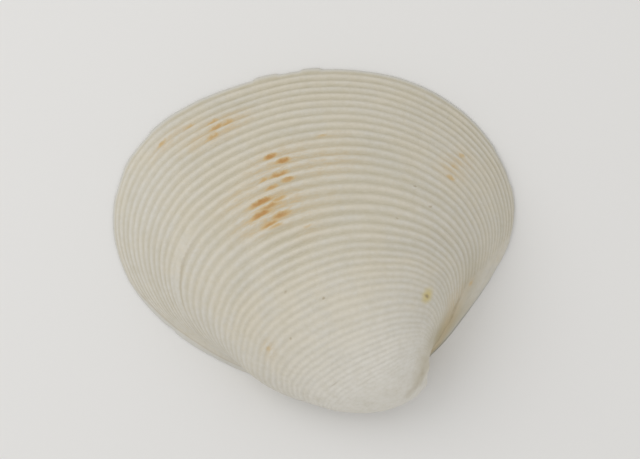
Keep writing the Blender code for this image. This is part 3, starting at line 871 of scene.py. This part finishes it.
def worn_colour(point, look, colour):
    """The same with a worn beak, mottling, a greyer lip, and the duller strip behind the beak with painted
    shade along its edge.
    """
    colour = point.growth.eased_to(*BEAK_WEAR).between(colour, look.beak_colour)
    mottling = point.ragged.eased_to(*RAGGED_MOTTLING) + point.blotches.eased_to(*BLOTCH_MOTTLING)
    mottling = mottling + point.tint.eased_to(*TINT_MOTTLING) * point.growth.eased(*TINT_FADE)
    mottling = mottling + point.clouds.eased_to(*CLOUD_MOTTLING)
    colour = mottling.between(colour, look.groove_colour)
    colour = point.growth.eased_to(*LIP_GREY).between(colour, look.lip_colour)
    strip_start, strip_end = BEHIND_BEAK
    behind = point.around.eased(*strip_start) * point.around.eased(*strip_end)
    colour = (behind * point.beyond_bare.eased_to(*STRIP_GREY)).between(colour, look.lip_colour)
    # painted shade: a dark line along the edge of the strip behind the beak
    return (behind * point.from_bare.eased_to(*STRIP_SHADE_LINE)).between(colour, look.smudge_and_shade_colour)


def stained_colour(point, look, colour):
    """The same with painted shade in the folds, yellow tints, smudges and rust."""
    shifts = {axis: (point.ragged - NOISE_MEAN) * most for axis, most in enumerate(MARK_SHIFT)}
    shaken = point.place.vector("ADD", point.start.node("CombineXYZ", values=shifts))
    # painted shade in the folds in front of the beak and by the lunule
    shade = marks(point.place, PAINTED_SHADES) * point.clouds.about_one(PAINTED_SHADE_UNEVENNESS)
    colour = shade.between(colour, look.painted_shade_colour)
    streaky = point.wave * HALO_IN_GROOVES + point.streaks.eased_to(*HALO_STREAKS)
    colour = (marks(shaken, HALOS) * streaky).between(colour, look.halo_colour)
    colour = marks(shaken, YELLOW).between(colour, look.yellow_colour)
    line = point.from_bare.eased_to(*LUNULE_LINE) * mark(shaken, *LUNULE_LINE_AT)
    line = line * (point.blotches.eased_to(*LUNULE_LINE_BLOTCHES) + LUNULE_LINE_LEAST)
    uneven = point.ragged.about_one(STAIN_UNEVENNESS)
    smudge = line.math("MAXIMUM", line, marks(shaken, SMUDGES) * uneven)
    colour = smudge.between(colour, look.smudge_and_shade_colour)
    rust = marks(shaken, RUST) * uneven
    colour = rust.eased(*RUST_FRINGE).between(colour, look.fringe_colour)
    return rust.eased(*RUST_CORE).between(colour, look.rust_colour)


def shell_material(look):
    """Chalky shell: ribbed, worn and stained outside, smooth and white inside."""
    material = bpy.data.materials.new("shell")
    material.use_nodes = True
    tree = material.node_tree
    surface = tree.nodes["Principled BSDF"]
    point = ShellPoint(Wire(tree), look)
    colour = stained_colour(point, look, worn_colour(point, look, ribbed_colour(point, look)))
    hollow_colour = (point.scar * SCAR_DULLNESS).between(look.inside_colour, look.scar_colour)
    colour = point.inside.between(colour, hollow_colour)
    tree.links.new(colour.socket, surface.inputs["Base Color"])

    roughness = look.outside_roughness + (look.inside_roughness - look.outside_roughness) * point.inside
    tree.links.new((roughness - SCAR_GLOSS * point.scar).socket, surface.inputs["Roughness"])

    height = point.grain * (1 - INSIDE_SMOOTHNESS * point.inside)
    height = height + GROOVE_RELIEF * point.streaks * point.groove
    values = {"Strength": RELIEF_STRENGTH, "Distance": RELIEF_DEPTH, "Height": height}
    tree.links.new(point.start.node("Bump", values=values).socket, surface.inputs["Normal"])
    return material


COLOUR = {"size": 4, "min": 0.0, "max": 1.0, "subtype": "COLOR"}
SHARE = {"min": 0.0, "max": 1.0, "subtype": "FACTOR"}


class ValveLook(bpy.types.PropertyGroup):
    """Sizes and colours of the valve."""

    rib_height: FloatProperty(
        name="Rib height", description="Crest above groove at the margin", default=0.26 * MM, min=0.0,
        max=0.5 * MM, precision=5, unit="LENGTH",
    )
    groove_narrowness: FloatProperty(
        name="Groove narrowness", description="2 for even waves, more for wide ribs and narrow grooves",
        default=2.4, min=1.0, max=8.0,
    )
    groove_share: FloatProperty(
        name="Groove colour", description="How strongly the grooves take their own colour", default=0.88,
        **SHARE,
    )
    outside_roughness: FloatProperty(
        name="Outside roughness", description="Roughness of the chalky outside", default=0.55, **SHARE,
    )
    inside_roughness: FloatProperty(
        name="Inside roughness", description="Roughness of the smooth hollow", default=0.32, **SHARE,
    )
    rib_colour: FloatVectorProperty(
        name="Ribs", description="Cream of the ribs", default=(0.645, 0.595, 0.49, 1.0), **COLOUR,
    )
    cool_colour: FloatVectorProperty(
        name="Cool patches", description="Greyer white of the ribs' chalky patches",
        default=(0.65, 0.625, 0.565, 1.0), **COLOUR,
    )
    groove_colour: FloatVectorProperty(
        name="Grooves", description="Dull beige between the ribs", default=(0.485, 0.44, 0.32, 1.0),
        **COLOUR,
    )
    beak_colour: FloatVectorProperty(
        name="Beak", description="Worn grey-white of the oldest part", default=(0.735, 0.71, 0.65, 1.0),
        **COLOUR,
    )
    lip_colour: FloatVectorProperty(
        name="Lip", description="Grey of the thin worn edge", default=(0.56, 0.56, 0.53, 1.0), **COLOUR,
    )
    # painted shade, tinted dull brown, in the folds in front of the beak and by the lunule
    painted_shade_colour: FloatVectorProperty(
        name="Shade", description="Duller brown in the folds in front of the beak",
        default=(0.40, 0.34, 0.20, 1.0), **COLOUR,
    )
    halo_colour: FloatVectorProperty(
        name="Halos", description="Yellow tint round the stains", default=(0.58, 0.45, 0.27, 1.0), **COLOUR,
    )
    yellow_colour: FloatVectorProperty(
        name="Yellow spot", description="Yellow of the spot in front", default=(0.61, 0.51, 0.235, 1.0),
        **COLOUR,
    )
    # brown-grey of dirt in grooves and pits, also used for the painted shade along the edge of the strip
    # behind the beak
    smudge_and_shade_colour: FloatVectorProperty(
        name="Smudges", description="Brown-grey of dirt in grooves and pits",
        default=(0.33, 0.26, 0.15, 1.0), **COLOUR,
    )
    fringe_colour: FloatVectorProperty(
        name="Stain edges", description="Ochre at the edge of a stain", default=(0.57, 0.42, 0.215, 1.0),
        **COLOUR,
    )
    rust_colour: FloatVectorProperty(
        name="Stains", description="Orange-brown of the stains", default=(0.47, 0.25, 0.075, 1.0), **COLOUR,
    )
    inside_colour: FloatVectorProperty(
        name="Inside", description="White of the hollow", default=(0.70, 0.67, 0.60, 1.0), **COLOUR,
    )
    scar_colour: FloatVectorProperty(
        name="Scars", description="Where the muscles held inside", default=(0.60, 0.58, 0.53, 1.0), **COLOUR,
    )


class StageLook(bpy.types.PropertyGroup):
    """The floor, the lights and the camera."""

    floor_colour: FloatVectorProperty(
        name="Floor", description="Colour of the floor", default=(0.80, 0.79, 0.77, 1.0), **COLOUR,
    )
    sky_strength: FloatProperty(
        name="Even light", description="Strength of the light from all round", default=0.755, min=0.0,
    )
    lamp_power: FloatProperty(
        name="Lamp", description="Power of the soft lamp", default=0.29, min=0.0, unit="POWER",
    )
    view_width: FloatProperty(
        name="View width", description="Width that the camera sees", default=0.0703, min=0.01,
        unit="LENGTH",
    )
    camera_distance: FloatProperty(
        name="Camera distance", description="From the camera to the resting plane", default=1.8, min=0.1,
        unit="LENGTH",
    )


# The stage, in metres where nothing else is said
FLOOR_SIZE = 4.0
FLOOR_ROUGHNESS = 0.8
WHITE = (1.0, 1.0, 1.0, 1.0)
LAMP_WAY = Vector((-0.62, 0.32, 0.75))  # from the valve to the lamp
LAMP_DISTANCE = 0.35
LAMP_SIZE = 0.30
SENSOR = 36.0  # mm
VIEW_CENTRE = (0.66 * MM, 1.27 * MM)
CLIP_SHARE = 10  # the camera sees from its distance divided by this to its distance times this


def plain_material(name, colour, roughness):
    """One even colour."""
    material = bpy.data.materials.new(name)
    material.use_nodes = True
    surface = material.node_tree.nodes["Principled BSDF"]
    surface.inputs["Base Color"].default_value = colour
    surface.inputs["Roughness"].default_value = roughness
    return material


class CLAM_OT_valve(bpy.types.Operator):
    """Build the ribbed valve in place of the plain CAD solid"""

    bl_idname = "clam.valve"
    bl_label = "Valve"

    def execute(self, context):
        look = context.scene.clam_valve
        piece = finish_piece("ribbed_valve", valve_mesh(look), shell_material(look))
        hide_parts("valve")
        return {"FINISHED"}


class CLAM_OT_teeth(bpy.types.Operator):
    """Add the teeth of the hinge"""

    bl_idname = "clam.teeth"
    bl_label = "Hinge teeth"

    def execute(self, context):
        look = context.scene.clam_valve
        material = plain_material("hinge_teeth", look.inside_colour, look.inside_roughness)
        finish_piece("hinge_teeth", teeth_mesh(), material)
        return {"FINISHED"}


class CLAM_OT_stage(bpy.types.Operator):
    """Add the pale floor, the soft light and the camera"""

    bl_idname = "clam.stage"
    bl_label = "Stage"

    def execute(self, context):
        scene = context.scene
        look = scene.clam_stage
        bm = bmesh.new()
        bmesh.ops.create_grid(bm, x_segments=1, y_segments=1, size=FLOOR_SIZE / 2)
        mesh = bpy.data.meshes.new("floor")
        bm.to_mesh(mesh)
        bm.free()
        mesh.materials.append(plain_material("floor", look.floor_colour, FLOOR_ROUGHNESS))
        floor = bpy.data.objects.new("floor", mesh)
        scene.collection.objects.link(floor)

        world = bpy.data.worlds.new("even_light")
        world.use_nodes = True
        sky = world.node_tree.nodes["Background"]
        sky.inputs["Color"].default_value = WHITE
        sky.inputs["Strength"].default_value = look.sky_strength
        scene.world = world

        lamp = bpy.data.lights.new("soft_lamp", "AREA")
        lamp.shape = "DISK"
        lamp.size = LAMP_SIZE
        lamp.energy = look.lamp_power
        lamp_object = bpy.data.objects.new("soft_lamp", lamp)
        lamp_object.location = LAMP_WAY.normalized() * LAMP_DISTANCE
        lamp_object.rotation_euler = LAMP_WAY.to_track_quat("Z", "Y").to_euler()
        scene.collection.objects.link(lamp_object)

        camera = bpy.data.cameras.new("camera")
        camera.sensor_width = SENSOR
        camera.lens = SENSOR * look.camera_distance / look.view_width
        camera.clip_start = look.camera_distance / CLIP_SHARE
        camera.clip_end = look.camera_distance * CLIP_SHARE
        camera_object = bpy.data.objects.new("camera", camera)
        camera_object.location = (*VIEW_CENTRE, look.camera_distance)
        scene.collection.objects.link(camera_object)
        scene.camera = camera_object
        scene.view_settings.view_transform = "Standard"
        return {"FINISHED"}


class CLAM_PT_panel(bpy.types.Panel):
    """Lists the pieces and their looks"""

    bl_idname = "CLAM_PT_panel"
    bl_label = "Clam shell"
    bl_space_type = "VIEW_3D"
    bl_region_type = "UI"
    bl_category = "Clam shell"

    def draw(self, context):
        for look, operators in (
            (context.scene.clam_valve, ("clam.valve", "clam.teeth")),
            (context.scene.clam_stage, ("clam.stage",)),
        ):
            box = self.layout.box()
            for name in look.__annotations__:
                box.prop(look, name)
            for operator in operators:
                box.operator(operator)


CLASSES = (ValveLook, StageLook, CLAM_OT_valve, CLAM_OT_teeth, CLAM_OT_stage, CLAM_PT_panel)


def register():
    for cls in CLASSES:
        bpy.utils.register_class(cls)
    bpy.types.Scene.clam_valve = PointerProperty(type=ValveLook)
    bpy.types.Scene.clam_stage = PointerProperty(type=StageLook)


def unregister():
    del bpy.types.Scene.clam_stage
    del bpy.types.Scene.clam_valve
    for cls in reversed(CLASSES):
        bpy.utils.unregister_class(cls)


def main():
    """Builds every piece and the stage."""
    register()
    bpy.ops.clam.valve()
    bpy.ops.clam.teeth()
    bpy.ops.clam.stage()
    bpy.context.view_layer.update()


if __name__ == "__main__":
    main()
